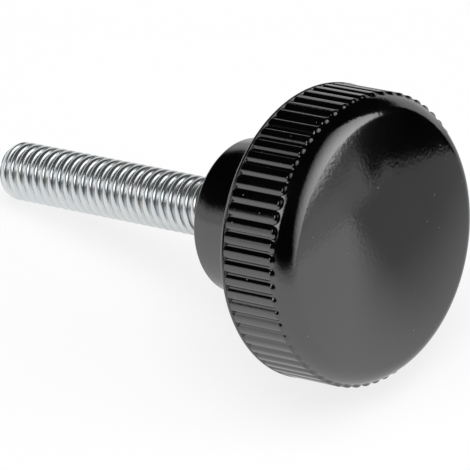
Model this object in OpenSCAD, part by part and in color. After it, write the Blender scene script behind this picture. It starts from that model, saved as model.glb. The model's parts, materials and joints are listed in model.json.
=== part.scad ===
// Knurled clamping knob: a moulded black head with a boss, and a threaded steel stud anchored in it.
// It lies on a table as it comes to rest, on the back lip of the rim and the tip of the stud.
// +Z is up, the stud points towards -X, and the origin is at the middle of the underside.

/* [Head] */
// Diameter over the lip at the back of the rim
head_d = 38.1; // [32:0.1:50]
// Height of the rim, from its back face to the top of the crown
rim_h = 13.1; // [11:0.1:18]
// Height of the smooth crown above the ends of the ribs
crown_h = 4.2; // [3.5:0.1:5]
// Radius of the domed face
dome_r = 60; // [45:1:120]
// Radius of the rounded front edge
edge_r = 3.5; // [2.5:0.1:4.5]
// How far the smooth shoulder lies below the lip
shoulder_drop = 0.28; // [0.2:0.01:0.3]
// Rounding of the lip's back edge
lip_edge_r = 0.25; // [0.1:0.05:0.4]

/* [Boss] */
// Diameter of the boss behind the rim
boss_d = 20.2; // [16:0.1:26]
// Height of the boss, from its seat to the rim
boss_h = 12.7; // [8:0.1:20]
// Rounding of the boss at its seat
boss_edge_r = 0.4; // [0.2:0.05:1]
// Fillet between the boss and the back of the rim
boss_fillet_r = 0.8; // [0.3:0.1:2]

/* [Knurl] */
// Number of straight ribs round the rim
rib_count = 64; // [32:2:72]
// Width of one rib at the groove floor
rib_w = 1.55; // [1.2:0.05:1.6]
// Depth of the grooves between the ribs
rib_depth = 0.42; // [0.3:0.02:0.5]
// Slope of the ribs' flanks
rib_flank = 38; // [34:1:45]
// How far the ribs stay below the lip
rib_sink = 0.05; // [0.02:0.01:0.2]
// Length of the slope at each rib's front end
rib_nose = 0.55; // [0.3:0.05:0.8]
// Width of the smooth lip behind the ribs
lip_w = 0.6; // [0.4:0.05:1.2]
// How far the grooves end short of the ribs
groove_gap = 0.9; // [0.8:0.05:1.2]

/* [Stud] */
// Outside diameter of the thread, a little under its nominal 5/16 in
stud_d = 7.8; // [6:0.01:10]
// Length of the stud outside the head
stud_l = 41.3; // [15:0.1:60]
// Chamfer on the stud's tip
tip_chamfer = 1.2; // [0.5:0.1:1.8]
// How far the plain shank inside the boss stands out past the thread
shank_step = 0.35; // [0.2:0.05:1]
// Width across flats of the hexagonal anchor inside the head
anchor_af = 12.7; // [11:0.1:14]
// Thickness of the anchor
anchor_h = 5.4; // [3:0.1:6]
// Depth of the anchor behind the back face of the rim
anchor_cover = 1; // [0.5:0.1:2]

/* [Hidden] */
$fn = 96;
arc_steps = 6;
rib_arc_steps = 4;
edge_steps = 3;
rib_bite = 0.6;
rib_toe = 0.05;

head_r = head_d / 2;
boss_r = boss_d / 2;
stud_r = stud_d / 2;
tip_r = stud_r - tip_chamfer;
shank_r = stud_r + shank_step;
anchor_z = boss_h + anchor_cover;
head_h = boss_h + rim_h;
rib_end = head_h - crown_h;
groove_end = rib_end - groove_gap;
root_r = head_r - rib_depth;
crest_r = head_r - rib_sink;
rib_crest_r = (rib_w / 2 - rib_depth / tan(rib_flank)) / tan(rib_flank / 2);

// Front edge: an arc that is tangent to the shoulder and to the dome
shoulder_r = head_r - shoulder_drop;
edge_r_at = shoulder_r - edge_r;
dome_z = head_h - dome_r;
edge_z = dome_z + sqrt(pow(dome_r - edge_r, 2) - pow(edge_r_at, 2));
dome_slope = asin(edge_r_at / (dome_r - edge_r));
edge_start = asin(max(0, min(1, (groove_end - edge_z) / edge_r)));

// Lying angle: one line touches the rim's lip and the first full thread behind the tip
lip_rise = head_r - lip_edge_r - stud_r;
lip_reach = boss_h + lip_edge_r + stud_l - tip_chamfer;
lie = atan2(lip_rise, lip_reach) + asin(lip_edge_r / norm([lip_rise, lip_reach]));
seat_z = stud_r * cos(lie) + (stud_l - tip_chamfer) * sin(lie);
front_x = lie < dome_slope
    ? dome_z * cos(lie) + dome_r
    : edge_z * cos(lie) + edge_r_at * sin(lie) + edge_r;
tip_x = -stud_l * cos(lie) - tip_r * sin(lie);
seat_x = -(front_x + tip_x) / 2;

// Points along an arc, from angle a0 to a1
function arc(centre, r, a0, a1, steps) =
    [for (i = [0:steps])
        let (a = a0 + (a1 - a0) * i / steps)
            centre + r * [cos(a), sin(a)]];

// Puts what is built along +Z, seat at zero, in its lying place
module lying() {
    translate([seat_x, 0, seat_z])
        rotate([0, 90 - lie, 0])
            children();
}

// Boss, lip, groove floor, shoulder and dome, turned as one outline
module head_body() {
    rotate_extrude()
        polygon(concat(
            [[0, 0]],
            arc([boss_r - boss_edge_r, boss_edge_r], boss_edge_r, -90, 0, edge_steps),
            arc([boss_r + boss_fillet_r, boss_h - boss_fillet_r], boss_fillet_r, 180, 90, edge_steps),
            arc([head_r - lip_edge_r, boss_h + lip_edge_r], lip_edge_r, -90, 0, edge_steps),
            [[head_r, boss_h + lip_w]],
            [[root_r, boss_h + lip_w]],
            [[root_r, groove_end]],
            [[edge_r_at + edge_r * cos(edge_start), groove_end]],
            arc([edge_r_at, edge_z], edge_r, edge_start, 90 - dome_slope, arc_steps),
            arc([0, dome_z], dome_r, 90 - dome_slope * (1 - 1 / arc_steps), 90, arc_steps - 1)
        ));
}

// One straight rib with a round crest and sloping flanks
module rib() {
    toe_y = rib_w / 2 + rib_toe / tan(rib_flank);
    translate([crest_r, 0, boss_h + lip_w / 2])
        linear_extrude(rim_h)
            polygon(concat(
                [[-rib_depth - rib_bite, -rib_w / 2]],
                [[-rib_depth - rib_toe, -toe_y]],
                arc([-rib_crest_r, 0], rib_crest_r, -rib_flank, rib_flank, rib_arc_steps),
                [[-rib_depth - rib_toe, toe_y]],
                [[-rib_depth - rib_bite, rib_w / 2]]
            ));
}

// Slopes the front ends of the ribs down into the shoulder
module rib_envelope() {
    nose_z = rib_end - rib_nose;
    slope = rib_depth + 2 * rib_bite;
    rotate_extrude()
        polygon([
            [0, boss_h],
            [head_r + rib_bite, boss_h],
            [head_r + rib_bite, nose_z - head_r - rib_bite + crest_r],
            [crest_r - slope, nose_z + slope],
            [0, nose_z + slope]
        ]);
}

module knurl() {
    intersection() {
        rib_envelope();
        for (i = [0:rib_count - 1])
            rotate([0, 0, 360 * (i + 0.5) / rib_count])
                rib();
    }
}

// Stud along the axis: tip, thread at its outside diameter, plain shank and hexagonal anchor
module stud_solid() {
    rotate_extrude()
        polygon([
            [0, -stud_l],
            [tip_r, -stud_l],
            [stud_r, -stud_l + tip_chamfer],
            [stud_r, 0],
            [shank_r, 0],
            [shank_r, anchor_z + anchor_h / 2],
            [0, anchor_z + anchor_h / 2]
        ]);
    translate([0, 0, anchor_z])
        cylinder(d = anchor_af / cos(30), h = anchor_h, $fn = 6);
}

module head() {
    color([0.03, 0.03, 0.035])
        lying()
            difference() {
                union() {
                    head_body();
                    knurl();
                }
                stud_solid();
            }
}

module stud() {
    color([0.78, 0.8, 0.82])
        lying()
            stud_solid();
}

head();
stud();
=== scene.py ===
# %% [markdown]
# # A knurled clamping knob
# The real thing is two pieces moulded together: a black phenolic head that the fingers turn, and a
# zinc-plated steel stud with a right-hand thread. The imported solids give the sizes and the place; this
# lesson gives each piece its fine form and its finish. Everything is in metres, in the solids' own frame.

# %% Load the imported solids
import json
from math import asin, cos, degrees, pi, radians, sin, sqrt

import bpy
from mathutils import Matrix, Vector


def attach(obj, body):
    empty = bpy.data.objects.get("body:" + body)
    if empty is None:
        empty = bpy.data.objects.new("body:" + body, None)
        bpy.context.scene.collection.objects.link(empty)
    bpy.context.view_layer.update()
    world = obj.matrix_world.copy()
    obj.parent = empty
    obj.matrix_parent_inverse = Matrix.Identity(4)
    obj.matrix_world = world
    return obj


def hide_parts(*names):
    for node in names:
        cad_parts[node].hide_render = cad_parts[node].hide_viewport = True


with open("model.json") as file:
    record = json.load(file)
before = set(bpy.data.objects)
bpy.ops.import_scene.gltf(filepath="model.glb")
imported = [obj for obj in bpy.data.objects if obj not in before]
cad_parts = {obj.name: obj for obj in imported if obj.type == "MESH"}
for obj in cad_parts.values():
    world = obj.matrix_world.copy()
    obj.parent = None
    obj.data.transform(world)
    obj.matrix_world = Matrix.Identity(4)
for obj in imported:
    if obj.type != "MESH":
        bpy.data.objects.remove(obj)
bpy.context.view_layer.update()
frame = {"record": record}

# %% [markdown]
# ## Where the knob lies
# The knob lies on a table like a dropped screw, on its rim and on the tip of its stud. Both pieces are easy
# to build upright, with the seat of the boss at height zero and the axis along +Z, and then to lay down with
# one matrix. The record's mounts already say where the axis runs, so the matrix is read from them and nothing
# is measured twice.

# %% The lying matrix, from the mounts
MM = 0.001
mounts = {mount["name"]: mount for mount in frame["record"]["mounts"]}
axis = -Vector(mounts["stud"]["axis"])
seat = Vector(mounts["seat"]["pos_m"])
seat.y = 0
lie = asin(axis.z)
LYING = Matrix.Translation(seat) @ Matrix.Rotation(pi / 2 - lie, 4, "Y")
print("lies at", round(degrees(lie), 2), "degrees, seat at", [round(v, 5) for v in seat])

# %% [markdown]
# ## Arithmetic for node trees
# Geometry and shader trees are both built from small maths nodes, which are hard to read as a list of links.
# A class that wraps a socket lets the rules be written as ordinary Python: each operator adds one Math node,
# and the reflected forms let a plain number stand on the left, as in `1 - mask`. Any other node comes from
# one method that takes its type, its settings and what goes into its sockets.

# %% A tree that nodes are added to
class Nodes:
    def __init__(self, tree):
        self.tree = tree

    def add(self, kind, settings=None, inputs=None, out=0):
        node = self.tree.nodes.new(kind)
        for name, value in (settings or {}).items():
            setattr(node, name, value)
        for name, value in (inputs or {}).items():
            self.plug(value, node.inputs[name])
        return Socket(self, node.outputs[out]) if node.outputs else None

    def plug(self, value, target):
        if isinstance(value, Socket):
            self.tree.links.new(value.output, target)
        else:
            target.default_value = value

    def math(self, operation, first, second=0.0):
        return self.add("ShaderNodeMath", {"operation": operation}, {0: first, 1: second})

    def dot(self, vector, direction):
        product = {"operation": "DOT_PRODUCT"}
        return self.add("ShaderNodeVectorMath", product, {0: vector, 1: direction}, out=1)

    def mix(self, share, first, second):
        return self.add("ShaderNodeMix", {"data_type": "RGBA"}, {0: share, 6: first, 7: second}, out=2)


print("nodes can be added to a tree")


# %% A socket that can be calculated with
class Socket:
    def __init__(self, nodes, output):
        self.nodes = nodes
        self.output = output

    def __add__(self, other):
        return self.nodes.math("ADD", self, other)

    def __radd__(self, other):
        return self.nodes.math("ADD", other, self)

    def __sub__(self, other):
        return self.nodes.math("SUBTRACT", self, other)

    def __rsub__(self, other):
        return self.nodes.math("SUBTRACT", other, self)

    def __mul__(self, other):
        return self.nodes.math("MULTIPLY", self, other)

    def __rmul__(self, other):
        return self.nodes.math("MULTIPLY", other, self)

    def __truediv__(self, other):
        return self.nodes.math("DIVIDE", self, other)

    def __rtruediv__(self, other):
        return self.nodes.math("DIVIDE", other, self)

    def __pow__(self, other):
        return self.nodes.math("POWER", self, other)

    def __abs__(self):
        return self.nodes.math("ABSOLUTE", self)

    def __gt__(self, other):
        return self.nodes.math("GREATER_THAN", self, other)

    def __mod__(self, other):
        return self.nodes.math("FLOORED_MODULO", self, other)

    def lowest(self, other):
        return self.nodes.math("MINIMUM", self, other)

    def highest(self, other):
        return self.nodes.math("MAXIMUM", self, other)

    def between(self, low, high):
        return self.highest(low).lowest(high)

    def smooth(self, low, high):
        ease = {"interpolation_type": "SMOOTHSTEP"}
        return self.nodes.add("ShaderNodeMapRange", ease, {"Value": self, "From Min": low, "From Max": high})

    def part(self, name):
        return self.nodes.add("ShaderNodeSeparateXYZ", inputs={0: self}, out="XYZ".index(name))


print("sockets can be calculated with")

# %% [markdown]
# ## Geometry trees that become plain meshes
# A geometry tree keeps its rule readable: its sizes are named inputs that can be changed in the editor. The
# finished part has to be an ordinary mesh, so each tree ends by making its copies real, welding them and
# giving them their material. It is run once on a start mesh, its result is copied out, and the modifier goes
# away with the start object.

# %% The start and the end of a geometry tree
WELD = 0.002 * MM


def geometry_tree(name, sizes):
    tree = bpy.data.node_groups.new(name, "GeometryNodeTree")
    tree.interface.new_socket("Geometry", in_out="INPUT", socket_type="NodeSocketGeometry")
    for size in sizes:
        tree.interface.new_socket(size, in_out="INPUT", socket_type="NodeSocketFloat")
    tree.interface.new_socket("Material", in_out="INPUT", socket_type="NodeSocketMaterial")
    tree.interface.new_socket("Geometry", in_out="OUTPUT", socket_type="NodeSocketGeometry")
    nodes = Nodes(tree)
    source = tree.nodes.new("NodeGroupInput")
    return nodes, {output.name: Socket(nodes, output) for output in source.outputs if output.name}


def end_tree(nodes, material, geometry):
    solid = nodes.add("GeometryNodeRealizeInstances", inputs={"Geometry": geometry})
    welded = nodes.add("GeometryNodeMergeByDistance", inputs={"Geometry": solid, "Distance": WELD})
    smooth = nodes.add("GeometryNodeSetShadeSmooth", inputs={"Geometry": welded})
    painted = nodes.add("GeometryNodeSetMaterial", inputs={"Geometry": smooth, "Material": material})
    nodes.add("NodeGroupOutput", inputs={"Geometry": painted})


print("corners closer than", WELD, "m are welded")


# %% Run a geometry tree once
def run_tree(name, tree, start, sizes, material):
    maker = bpy.data.objects.new(name + "_maker", start)
    bpy.context.collection.objects.link(maker)
    modifier = maker.modifiers.new("rule", "NODES")
    modifier.node_group = tree
    values = {**sizes, "Material": material}
    for item in tree.interface.items_tree:
        if item.in_out == "INPUT" and item.name in values:
            modifier[item.identifier] = values[item.name]
    graph = bpy.context.evaluated_depsgraph_get()
    mesh = bpy.data.meshes.new_from_object(maker.evaluated_get(graph))
    maker.modifiers.remove(modifier)
    bpy.data.objects.remove(maker)
    mesh.transform(LYING)
    mesh.name = name
    piece = bpy.data.objects.new(name, mesh)
    bpy.context.collection.objects.link(piece)
    print(name, "has", len(mesh.polygons), "faces and", len(mesh.vertices), "corners")
    return piece


print("trees can be run")

# %% [markdown]
# ## The black moulding's finish
# Phenolic comes out of its mould nearly black, with a gloss that is not quite even: the face has a faint
# ripple, its sharpness drifts from place to place, and specks of dust lie on it. A picture wrapped round the
# head would carry its own light along. One gloss over a black base looks right under any light, with a fine
# noise as the ripple, a slow one as the drift and the middles of chosen cells as the dust. The gloss is set
# stronger than a plain resin's, because a white table under studio lamps is brighter than the white of a
# picture.

# %% Phenolic material
DRIFT_SCALE, RIPPLE_SCALE, DUST_CELLS = 160, 1800, 560
DUST_SHARE = 0.7
RIPPLE_DEPTH = 0.1 * MM
BLACKEST, BLACK = (0.001, 0.001, 0.001, 1), (0.002, 0.002, 0.002, 1)
DUST = (0.2, 0.2, 0.19, 1)


def new_material(name, viewport):
    material = bpy.data.materials.new(name)
    material.use_nodes = True
    material.node_tree.nodes.clear()
    material.diffuse_color = viewport
    return material, Nodes(material.node_tree)


def finish_material(nodes, inputs):
    shader = nodes.add("ShaderNodeBsdfPrincipled", inputs=inputs)
    nodes.add("ShaderNodeOutputMaterial", inputs={"Surface": shader})


def dust_mask(nodes, place):
    cells = {"Vector": place, "Scale": DUST_CELLS}
    distance = nodes.add("ShaderNodeTexVoronoi", inputs=cells, out="Distance")
    lot = nodes.add("ShaderNodeTexVoronoi", inputs=cells, out="Color")
    chosen = nodes.add("ShaderNodeSeparateColor", inputs={0: lot}) > 1 - DUST_SHARE
    return chosen * (1 - distance.smooth(0.03, 0.06))


def phenolic_material():
    material, nodes = new_material("black_phenolic", (0.02, 0.02, 0.02, 1))
    place = nodes.add("ShaderNodeTexCoord", out="Object")
    drift = nodes.add("ShaderNodeTexNoise", inputs={"Vector": place, "Scale": DRIFT_SCALE, "Detail": 4})
    ripple = nodes.add("ShaderNodeTexNoise", inputs={"Vector": place, "Scale": RIPPLE_SCALE, "Detail": 5})
    dust = dust_mask(nodes, place)
    black = nodes.mix(drift.smooth(0.3, 0.7), BLACKEST, BLACK)
    bump = nodes.add("ShaderNodeBump", inputs={"Strength": 0.14, "Distance": RIPPLE_DEPTH, "Height": ripple})
    finish_material(nodes, {
        "Base Color": nodes.mix(dust, black, DUST),
        "Roughness": 0.065 + drift * 0.06 + dust * 0.4,
        "IOR": 1.62,
        "Specular IOR Level": 1.0,
        "Normal": bump,
    })
    return material


phenolic = phenolic_material()
print("made", phenolic.name)

# %% [markdown]
# ## The head's outline
# A moulded head is a turned shape with ribs, so its outline is a list of radii and heights, from the end of
# the stud's hole, along the seat, up the boss, across the back of the rim, over the lip and the blank that
# the ribs stand on, round the front edge and up the dome. Turning all of it finely would waste faces on plain
# stretches: each row also says how many columns one rib's share of the circle gets.

# %% Sizes of the head
RIBS = 64
HEAD_HEIGHT = 25.8 * MM
BOSS_RADIUS = 10.1 * MM
BOSS_HEIGHT = 12.7 * MM
BOSS_EDGE = 0.4 * MM
BOSS_FILLET = 0.8 * MM
SHANK_RADIUS = 4.25 * MM
ANCHOR_FLATS = 12.7 * MM
ANCHOR_START = 13.7 * MM
ANCHOR_END = 19.1 * MM
LIP_RADIUS = 19.048 * MM
LIP_BACK_EDGE = 0.4 * MM
LIP_FRONT_EDGE = 0.18 * MM
LIP_FRONT = BOSS_HEIGHT + 0.6 * MM
RIB_START = LIP_FRONT + 0.01 * MM
RIB_FOOT = 0.16 * MM
SHOULDER_RADIUS = 18.77 * MM
EDGE_RADIUS = 3.5 * MM
DOME_RADIUS = 60 * MM
BLEND_START = 20.3 * MM
BLEND_END = 22 * MM

anchor_corner = ANCHOR_FLATS / 2 / cos(radians(30))
edge_at = SHOULDER_RADIUS - EDGE_RADIUS
dome_at = HEAD_HEIGHT - DOME_RADIUS
edge_height = dome_at + sqrt((DOME_RADIUS - EDGE_RADIUS) ** 2 - edge_at**2)
blend_angle = degrees(asin((BLEND_END - edge_height) / EDGE_RADIUS))
dome_edge = 90 - degrees(asin(edge_at / (DOME_RADIUS - EDGE_RADIUS)))
print("the front edge is an arc from", round(blend_angle, 1), "to", round(dome_edge, 1), "degrees")


# %% Rows of the outline
COARSE, FINE = 4, 24


def arc(radius_at, height_at, radius, start, end, steps):
    angles = [radians(start + (end - start) * i / steps) for i in range(steps + 1)]
    return [(radius_at + radius * cos(a), height_at + radius * sin(a)) for a in angles]


def spread(start, end, steps):
    return [start + (end - start) * i / steps for i in range(steps + 1)]


def blank(heights):
    return [(edge_at + sqrt(EDGE_RADIUS**2 - max(h - edge_height, 0) ** 2), h) for h in heights]


boss_rows = (
    [(0, ANCHOR_END), (anchor_corner, ANCHOR_END), (anchor_corner, ANCHOR_START)]
    + [(SHANK_RADIUS, ANCHOR_START), (SHANK_RADIUS, 0)]
    + [(r, 0) for r in spread(SHANK_RADIUS, BOSS_RADIUS - BOSS_EDGE, 3)[1:-1]]
    + arc(BOSS_RADIUS - BOSS_EDGE, BOSS_EDGE, BOSS_EDGE, -90, 0, 6)
    + [(BOSS_RADIUS, h) for h in spread(BOSS_EDGE, BOSS_HEIGHT - BOSS_FILLET, 6)[1:-1]]
    + arc(BOSS_RADIUS + BOSS_FILLET, BOSS_HEIGHT - BOSS_FILLET, BOSS_FILLET, 180, 90, 8)
    + [(r, BOSS_HEIGHT) for r in spread(BOSS_RADIUS + BOSS_FILLET, LIP_RADIUS - 2 * LIP_BACK_EDGE, 4)[1:]]
)
rim_rows = (
    arc(LIP_RADIUS - LIP_BACK_EDGE, BOSS_HEIGHT + LIP_BACK_EDGE, LIP_BACK_EDGE, -90, 0, 6)
    + arc(LIP_RADIUS - LIP_FRONT_EDGE, LIP_FRONT - LIP_FRONT_EDGE, LIP_FRONT_EDGE, 0, 80, 4)
    + blank([RIB_START, LIP_FRONT + RIB_FOOT / 2])
    + blank(spread(LIP_FRONT + RIB_FOOT, BLEND_START, 4))
    + blank(spread(BLEND_START, BLEND_END, 22)[1:])
    + arc(edge_at, edge_height, EDGE_RADIUS, blend_angle, dome_edge, 14)[1:]
)
dome_rows = arc(0, dome_at, DOME_RADIUS, dome_edge, 90, 16)[1:-1] + [(0, HEAD_HEIGHT)]
rows = (
    [(r, h, COARSE) for r, h in boss_rows]
    + [(r, h, FINE) for r, h in rim_rows]
    + [(r, h, COARSE) for r, h in dome_rows]
)
print("outline rows: boss", len(boss_rows), "rim", len(rim_rows), "dome", len(dome_rows))

# %% [markdown]
# One wedge holds a single rib's share of the circle. Rows with the same number of columns are joined by
# four-sided faces. Where a fine row meets a coarse one, each coarse corner takes the fine edges nearest to
# it as a fan, and the row on the axis is one shared corner.

# %% One wedge of the head
def join_rows(low, high):
    if len(low) == len(high):
        return [(low[i], low[i + 1], high[i + 1], high[i]) for i in range(len(low) - 1)]
    if len(low) > len(high):
        return [face[::-1] for face in join_rows(high, low)]
    ratio = (len(high) - 1) / max(len(low) - 1, 1)
    nearest = [min(len(low) - 1, int(i / ratio + 0.5)) for i in range(len(high))]
    faces = []
    for i in range(len(high) - 1):
        near, after = low[nearest[i]], low[nearest[i + 1]]
        if near == after:
            faces.append((near, high[i + 1], high[i]))
        else:
            faces.append((near, after, high[i + 1], high[i]))
    return faces


def wedge_mesh(name, rows, turn):
    points, lines = [], []
    for radius, height, columns in rows:
        count = columns + 1 if radius > 0 else 1
        lines.append(range(len(points), len(points) + count))
        for i in range(count):
            angle = turn * (i / columns - 0.5) if count > 1 else 0
            points.append((radius * cos(angle), radius * sin(angle), height))
    faces = []
    for low, high in zip(lines, lines[1:]):
        faces += join_rows(low, high)
    mesh = bpy.data.meshes.new(name)
    mesh.from_pydata(points, [], faces)
    return mesh


wedge = wedge_mesh("head_wedge", rows, 2 * pi / RIBS)
print("one wedge has", len(wedge.polygons), "faces")

# %% [markdown]
# ## The knurl
# Ribs stand a little proud of the smooth shoulder, and the grooves between them are sunk below it. Round the
# rim they are a soft wave with broad crests. Along the axis they run straight from the lip and fade into the
# shoulder, each rib in a round nose. Cutters could be taken out of a plain rim, but they would leave ragged
# ends; pushing the wedge's corners in and out by one formula keeps the mesh clean. The same tree then repeats
# the wedge round the axis.

# %% The knurl as a geometry tree
KNURL = {
    "Ribs": RIBS,
    "Lip radius": LIP_RADIUS,
    "Lip front": LIP_FRONT,
    "Boss radius": BOSS_RADIUS,
    "Sink": 0.06 * MM,
    "Depth": 0.34 * MM,
    "Crest breadth": 1.8,
    "Rib end": 21.55 * MM,
    "Groove end": 21.0 * MM,
    "End slope": 0.5 * MM,
}


def knurled_radius(nodes, size, radius, angle, height):
    share = abs(angle) * size["Ribs"] / pi
    wave = nodes.math("COSINE", share ** size["Crest breadth"] * pi)
    ribbed = size["Lip radius"] - size["Sink"] - size["Depth"] * (1 - wave) / 2
    nose = (1 - share * share).highest(0) ** 0.5
    end = size["Groove end"] + (size["Rib end"] - size["Groove end"]) * nose
    return ribbed + (radius - ribbed) * (height - end).smooth(-1 * size["End slope"], 0)


def knurl_tree():
    nodes, size = geometry_tree("knurl", KNURL)
    place = nodes.add("GeometryNodeInputPosition")
    x, y, height = place.part("X"), place.part("Y"), place.part("Z")
    radius = (x * x + y * y) ** 0.5
    knurled = knurled_radius(nodes, size, radius, nodes.math("ARCTAN2", y, x), height)
    on_rim = (height > size["Lip front"]) * (radius > size["Boss radius"])
    scale = 1 + on_rim * (knurled / radius.highest(MM) - 1)
    moved = nodes.add("ShaderNodeCombineXYZ", inputs={"X": x * scale, "Y": y * scale, "Z": height})
    rib = nodes.add("GeometryNodeSetPosition", inputs={"Geometry": size["Geometry"], "Position": moved})
    points = nodes.add("GeometryNodePoints", inputs={"Count": size["Ribs"]})
    step = (nodes.add("GeometryNodeInputIndex") + 0.5) * (2 * pi / size["Ribs"])
    euler = nodes.add("ShaderNodeCombineXYZ", inputs={"Z": step})
    turn = nodes.add("FunctionNodeEulerToRotation", inputs={0: euler})
    round_axis = {"Points": points, "Instance": rib, "Rotation": turn}
    end_tree(nodes, size["Material"], nodes.add("GeometryNodeInstanceOnPoints", inputs=round_axis))
    return nodes.tree


head = run_tree("knurled_head", knurl_tree(), wedge, KNURL, phenolic)

# %% [markdown]
# ## The zinc-plated steel
# Bright zinc is a metal with a cold, slightly blue tint. A plain grey metal would look like chrome. The
# plating follows the rolled thread smoothly, with only a faint grain, but it is a little uneven, so its tint
# and its roughness drift together with a cloud of noise.

# %% Zinc material
COLD_ZINC, PALE_ZINC = (0.64, 0.68, 0.7, 1), (0.72, 0.73, 0.73, 1)
CLOUD_SCALE, GRAIN_SCALE = 500, 5000
GRAIN_DEPTH = 0.1 * MM


def zinc_material():
    material, nodes = new_material("bright_zinc", (0.66, 0.7, 0.74, 1))
    place = nodes.add("ShaderNodeTexCoord", out="Object")
    cloud = nodes.add("ShaderNodeTexNoise", inputs={"Vector": place, "Scale": CLOUD_SCALE, "Detail": 5})
    grain = nodes.add("ShaderNodeTexNoise", inputs={"Vector": place, "Scale": GRAIN_SCALE, "Detail": 3})
    bump = nodes.add("ShaderNodeBump", inputs={"Strength": 0.02, "Distance": GRAIN_DEPTH, "Height": grain})
    finish_material(nodes, {
        "Base Color": nodes.mix(cloud.smooth(0.3, 0.7), COLD_ZINC, PALE_ZINC),
        "Metallic": 0.93,
        "Roughness": 0.18 + cloud * 0.1,
        "Normal": bump,
    })
    return material


zinc = zinc_material()
print("made", zinc.name)

# %% [markdown]
# ## The stud's thread
# The stud carries a coarse inch thread of eighteen turns to the inch, with broad, slightly rounded crests and
# straight flanks. A screw modifier could sweep that profile, but its ends would need cutting. A sheet whose
# rows already follow the helix does both: each row keeps its place in the profile all the way round, and its
# radius is limited by the round tip and by the shank at the seat. Rows for the tip's end face, the shank and
# the hexagonal anchor close the sheet.

# %% The sheet that becomes the stud
THREAD = {
    "Pitch": 25.4 / 18 * MM,
    "Crest radius": 3.88 * MM,
    "Crest share": 0.5,
    "Crest drop": 0.08 * MM,
    "Root radius": 3.23 * MM,
    "Length": 41.3 * MM,
    "Tip radius": 2.0 * MM,
    "Tip length": 2.2 * MM,
    "Shank radius": SHANK_RADIUS,
    "Run-out slope": 2.0,
}
ROWS_PER_TURN = 24
COLUMNS = 84
TURNS = int(THREAD["Length"] / THREAD["Pitch"]) + 3


def hexagon(angle):
    turned = (angle + pi / 6) % (pi / 3) - pi / 6
    return ANCHOR_FLATS / 2 / cos(turned)


def ring(radius_at, height):
    angles = [2 * pi * c / COLUMNS for c in range(COLUMNS + 1)]
    return [(radius_at(a) * cos(a), radius_at(a) * sin(a), height) for a in angles]


def thread_row(turns_up):
    return [(c / COLUMNS, turns_up, 0) for c in range(COLUMNS + 1)]


def stud_sheet():
    thread = [thread_row(r / ROWS_PER_TURN) for r in range(TURNS * ROWS_PER_TURN + 1)]
    tip = [ring(lambda a: 0, -THREAD["Length"])]
    hidden = [
        ring(lambda a: SHANK_RADIUS, ANCHOR_START),
        ring(hexagon, ANCHOR_START),
        ring(hexagon, ANCHOR_END),
        ring(lambda a: 0, ANCHOR_END),
    ]
    sheet = tip + thread + hidden
    width = COLUMNS + 1
    lines = [range(r * width, (r + 1) * width) for r in range(len(sheet))]
    faces = []
    for low, high in zip(lines, lines[1:]):
        faces += join_rows(low, high)
    mesh = bpy.data.meshes.new("stud_sheet")
    mesh.from_pydata([point for row in sheet for point in row], [], faces)
    threaded = mesh.attributes.new("threaded", "BOOLEAN", "POINT")
    for i in range(width, width + width * len(thread)):
        threaded.data[i].value = True
    return mesh


print("the sheet has", TURNS * ROWS_PER_TURN, "rows of thread with", COLUMNS, "columns")


# %% The thread as a geometry tree
def thread_radius(size, row, height):
    from_crest = abs(row % 1.0 - 0.5) * 2
    shoulder = size["Crest radius"] - size["Crest drop"] * (from_crest / size["Crest share"]).lowest(1) ** 2
    flank = ((from_crest - size["Crest share"]) / (1 - size["Crest share"])).highest(0)
    thread = shoulder - (shoulder - size["Root radius"]) * flank
    to_go = (1 - (height + size["Length"]) / size["Tip length"]).highest(0)
    tip = size["Tip radius"] + (size["Crest radius"] - size["Tip radius"]) * (1 - to_go * to_go) ** 0.5
    run_out = size["Shank radius"] + height * size["Run-out slope"]
    return thread.lowest(tip).highest(run_out)


def thread_tree():
    nodes, size = geometry_tree("thread", THREAD)
    place = nodes.add("GeometryNodeInputPosition")
    turn, row = place.part("X"), place.part("Y")
    height = ((row + turn - 2) * size["Pitch"] - size["Length"]).between(-1 * size["Length"], 0)
    radius = thread_radius(size, row, height)
    angle = turn * (2 * pi)
    moved = nodes.add("ShaderNodeCombineXYZ", inputs={
        "X": nodes.math("COSINE", angle) * radius,
        "Y": nodes.math("SINE", angle) * radius,
        "Z": height,
    })
    threaded = nodes.add("GeometryNodeInputNamedAttribute", {"data_type": "BOOLEAN"}, {"Name": "threaded"})
    wound = {"Geometry": size["Geometry"], "Selection": threaded, "Position": moved}
    end_tree(nodes, size["Material"], nodes.add("GeometryNodeSetPosition", inputs=wound))
    return nodes.tree


stud = run_tree("threaded_stud", thread_tree(), stud_sheet(), THREAD, zinc)

# %% [markdown]
# ## Directions in the room
# Everything round the knob is placed as the photographer sees it: to the right, straight away along the
# table, and upright. Two angles of the camera give these directions. A way to a lamp is then written as
# degrees to the right of the photographer's own side of the table, and degrees above it.

# %% The camera's directions
AZIMUTH, ELEVATION = radians(39.493), radians(37.125)
right = Vector((cos(AZIMUTH), sin(AZIMUTH), 0))
level = Vector((-sin(AZIMUTH), cos(AZIMUTH), 0))
upright = Vector((0, 0, 1))
forward = cos(ELEVATION) * level - sin(ELEVATION) * upright
up = right.cross(forward)


def way_to(sideways, elevation):
    flat = right * sin(radians(sideways)) - level * cos(radians(sideways))
    return cos(radians(elevation)) * flat + sin(radians(elevation)) * upright


print("the camera looks along", [round(v, 3) for v in forward])
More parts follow.
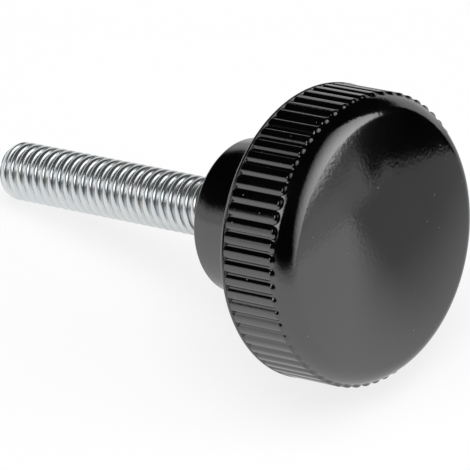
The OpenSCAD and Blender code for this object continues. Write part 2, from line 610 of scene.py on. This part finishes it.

# %% [markdown]
# ## The table
# The knob lies on a white table. Gloss black shows little colour of its own: most of what is seen on it is
# the table and the room. To the camera the table is mostly plain white, and the rest of it takes light and
# keeps the knob's soft shadow. In mirrored rays it is white too, apart from a wedge of painted shade to the
# right behind the knob, where the real gloss shows the table darker. Lamps could shade the table so, but they
# would light the knob as well, so this shade is painted into the table's colour and left out where the camera
# looks.

# %% A white table
TABLE_REACH = 2.0
TABLE_WHITE, WHITE, DARK = (0.9, 0.9, 0.9, 1), (1, 1, 1, 1), (0, 0, 0, 1)
WEDGE_FRONT, WEDGE_LEFT, WEDGE_LEAN = (-0.03, -0.002), (-0.035, 0.1), 0.2
WEDGE_SHADE, FAR_SHADE, FAR_FADE = 0.68, 0.22, (0.05, 0.1)
WHITE_TO_CAMERA, WHITE_IN_MIRROR = 0.8, 0.9


def stage_mesh(name, points, faces, material):
    mesh = bpy.data.meshes.new(name)
    mesh.from_pydata(points, [], faces)
    mesh.materials.append(material)
    item = bpy.data.objects.new(name, mesh)
    bpy.context.collection.objects.link(item)
    return item


def table_material():
    material, nodes = new_material("white_table", TABLE_WHITE)
    place = nodes.add("ShaderNodeTexCoord", out="Object")
    aside, away = nodes.dot(place, right), nodes.dot(place, level)
    seen = nodes.add("ShaderNodeLightPath", out="Is Camera Ray")
    mirrored = nodes.add("ShaderNodeLightPath", out="Is Glossy Ray")
    # painted shade: a darker wedge to the right behind the knob, in the table's colour and its white glow,
    # for mirrored rays only
    wedge = (away + aside * WEDGE_LEAN).smooth(*WEDGE_FRONT) * aside.smooth(*WEDGE_LEFT)
    shade = wedge * (WEDGE_SHADE - (WEDGE_SHADE - FAR_SHADE) * away.smooth(*FAR_FADE)) * (1 - seen)
    sheet = nodes.add("ShaderNodeBsdfPrincipled", inputs={
        "Base Color": nodes.mix(shade, TABLE_WHITE, DARK), "Roughness": 0.4, "IOR": 1.45,
    })
    paper = nodes.add("ShaderNodeEmission", inputs={"Color": nodes.mix(shade, WHITE, DARK)})
    white = seen * WHITE_TO_CAMERA + mirrored * WHITE_IN_MIRROR
    both = nodes.add("ShaderNodeMixShader", inputs={0: white, 1: sheet, 2: paper})
    nodes.add("ShaderNodeOutputMaterial", inputs={"Surface": both})
    return material


corners = [(-TABLE_REACH, -TABLE_REACH), (TABLE_REACH, -TABLE_REACH)]
corners += [(-a, -b) for a, b in corners]
table = stage_mesh("table", [right * a + level * b for a, b in corners], [(0, 1, 2, 3)], table_material())
print(table.name, "reaches", TABLE_REACH, "m each way")

# %% [markdown]
# ## A black flag
# Photographers stand a black card, called a flag, beside glossy things to put a dark edge into the gloss. One
# stands here on the table, to the right and behind, and draws the lower border of the black patch on the
# knob's face. It is there to be mirrored only: the camera doesn't see it, and it takes no light away.

# %% The flag
FLAG_NEAR = right * 0.088 + level * 0.04
FLAG_FAR = right * 1.9 + level * 0.12
FLAG_HEIGHT = 0.1


def flag_material():
    material, nodes = new_material("black_flag", DARK)
    finish_material(nodes, {"Base Color": DARK, "Roughness": 1.0, "Specular IOR Level": 0.0})
    return material


flag_top = upright * FLAG_HEIGHT
flag_points = [FLAG_NEAR, FLAG_FAR, FLAG_FAR + flag_top, FLAG_NEAR + flag_top]
flag = stage_mesh("flag", flag_points, [(0, 1, 2, 3)], flag_material())
flag.visible_camera = False
flag.visible_diffuse = False
flag.visible_shadow = False
print(flag.name, "is", round((FLAG_FAR - FLAG_NEAR).length, 2), "m long")

# %% [markdown]
# ## The lamp overhead
# One large soft lamp hangs over the table, a little towards the camera. It lights the table, the shadow and
# the dust at a plain level. A small lamp would draw hard shadows. It is kept out of the reflections, because
# the real gloss mirrors a dark ceiling.

# %% A soft lamp
LAMP_WAY = way_to(0, 80)
LAMP_DISTANCE = 1.0
LAMP_SIDE = 1.0
LAMP_RADIANCE = 3.4
LAMP_AIM = Vector((0, 0, 0.018))

lamp = bpy.data.lights.new("overhead_fill", "AREA")
lamp.shape = "RECTANGLE"
lamp.size, lamp.size_y = LAMP_SIDE, LAMP_SIDE
lamp.energy = LAMP_RADIANCE * pi * LAMP_SIDE**2
overhead = bpy.data.objects.new("overhead_fill", lamp)
overhead.location = LAMP_AIM + LAMP_WAY * LAMP_DISTANCE
overhead.rotation_euler = LAMP_WAY.to_track_quat("Z", "Y").to_euler()
overhead.visible_glossy = False
bpy.context.collection.objects.link(overhead)
print(overhead.name, "gives", round(lamp.energy, 1), "W")

# %% [markdown]
# ## The room
# The rest of the room is seen only in the gloss. Near the horizon it is pale, and above it is dark. A large
# soft box to the right draws the bright edge round the face and the stripes on the thread, a smaller one to
# the left draws the row of glints along the stud, and a gap in the pale horizon makes the black patch high on
# the face. A picture of a studio could be wrapped round the scene, but a few smooth borders in degrees are
# easier to read and to change. To the camera the world is plain white.

# %% The world
RIGHT_BOX_WAY = way_to(86, 18)
RIGHT_BOX_REACH, RIGHT_BOX_END, RIGHT_BOX_GLOW = 52, 109, 3.1
RIGHT_BOX_FOOT, FOOT_LEAN, FOOT_LEVEL_AT, FOOT_HIGHEST = 10, 0.2, 70, 3
LEFT_BOX_START, LEFT_BOX_END, LEFT_BOX_FOOT, LEFT_BOX_TOP, LEFT_BOX_GLOW = -87, -40, 26, 51, 2.3
GAP_START, GAP_END = 87.2, 120
HORIZON_HEIGHT, RISE_AWAY, FALL_ASIDE = 12, 4, 1.5
HORIZON_GLOW, DIM_START, DIM_LOSS = 0.75, 77, 0.15


def past(value, border, softness):
    return (value - border).smooth(-softness, softness)


def right_box(from_middle, sideways, height):
    glow = (1 - (from_middle / RIGHT_BOX_REACH) ** 1.3).highest(0) * RIGHT_BOX_GLOW
    foot = RIGHT_BOX_FOOT + ((sideways - FOOT_LEVEL_AT) * FOOT_LEAN).lowest(FOOT_HIGHEST)
    return glow * (1 - past(sideways, RIGHT_BOX_END, 2)) * past(height, foot, 2.5)


def left_box(sideways, height):
    across = past(sideways, LEFT_BOX_START, 3) * (1 - past(sideways, LEFT_BOX_END, 3))
    upwards = past(height, LEFT_BOX_FOOT, 2) * (1 - past(height, LEFT_BOX_TOP, 3))
    return across * upwards * LEFT_BOX_GLOW


def horizon(sideways, height, top):
    before_end = 1 - past(sideways, GAP_END, 3)
    gap = past(sideways, GAP_START, 1.5) * before_end * height.smooth(-0.5, 1)
    glow = HORIZON_GLOW - past(sideways, DIM_START, 5) * before_end * DIM_LOSS
    return (1 - (height - top).smooth(-6, 4)) * (1 - gap) * glow


def studio_world():
    world = bpy.data.worlds.new("studio")
    world.use_nodes = True
    world.node_tree.nodes.clear()
    nodes = Nodes(world.node_tree)
    way = nodes.add("ShaderNodeTexCoord", out="Generated")
    aside, away = nodes.dot(way, right), nodes.dot(way, level)
    height = nodes.math("ARCSINE", way.part("Z")) * degrees(1)
    sideways = nodes.math("ARCTAN2", aside, -1 * away) * degrees(1)
    from_right_box = nodes.math("ARCCOSINE", nodes.dot(way, RIGHT_BOX_WAY)) * degrees(1)
    boxes = right_box(from_right_box, sideways, height) + left_box(sideways, height)
    horizon_top = HORIZON_HEIGHT + away * RISE_AWAY - aside * FALL_ASIDE
    light = boxes + horizon(sideways, height, horizon_top)
    seen = nodes.add("ShaderNodeLightPath", out="Is Camera Ray")
    ground = nodes.add("ShaderNodeBackground", inputs={"Color": WHITE, "Strength": light.highest(seen)})
    nodes.add("ShaderNodeOutputWorld", inputs={"Surface": ground})
    return world


bpy.context.scene.world = studio_world()
bpy.context.scene.view_settings.view_transform = "Standard"
print("the world has", len(bpy.context.scene.world.node_tree.nodes), "nodes")

# %% [markdown]
# ## The camera
# The photograph was taken from far away with a long lens, so that the head and the tip of the stud are drawn
# at nearly the same scale. The camera is placed from the seat of the boss, along its own line of sight.

# %% Camera
PICTURE = 470
FOCAL_PIXELS = 6923.9
SEAT_RIGHT, SEAT_UP, SEAT_AWAY = 1.37 * MM, 2.55 * MM, 888.818 * MM
lens = bpy.data.cameras.new("camera")
lens.sensor_width = 36
lens.lens = FOCAL_PIXELS * lens.sensor_width / PICTURE
lens.clip_start, lens.clip_end = 0.05, 20
camera = bpy.data.objects.new("camera", lens)
spot = seat - right * SEAT_RIGHT - up * SEAT_UP - forward * SEAT_AWAY
camera.matrix_world = Matrix.Translation(spot) @ Matrix((right, up, -forward)).transposed().to_4x4()
bpy.context.collection.objects.link(camera)
bpy.context.scene.camera = camera
print("camera at", [round(v, 3) for v in spot], "lens", round(lens.lens, 1))

# %% [markdown]
# ## Hand the pieces over
# Nothing moves against anything else here, so both pieces ride on the one body. Each stands for its solid,
# which is hidden.

# %% Bodies and hidden solids
for piece, node, slot in ((head, "head", "phenolic"), (stud, "stud", "zinc_steel")):
    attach(piece, "root")
    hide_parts(node)
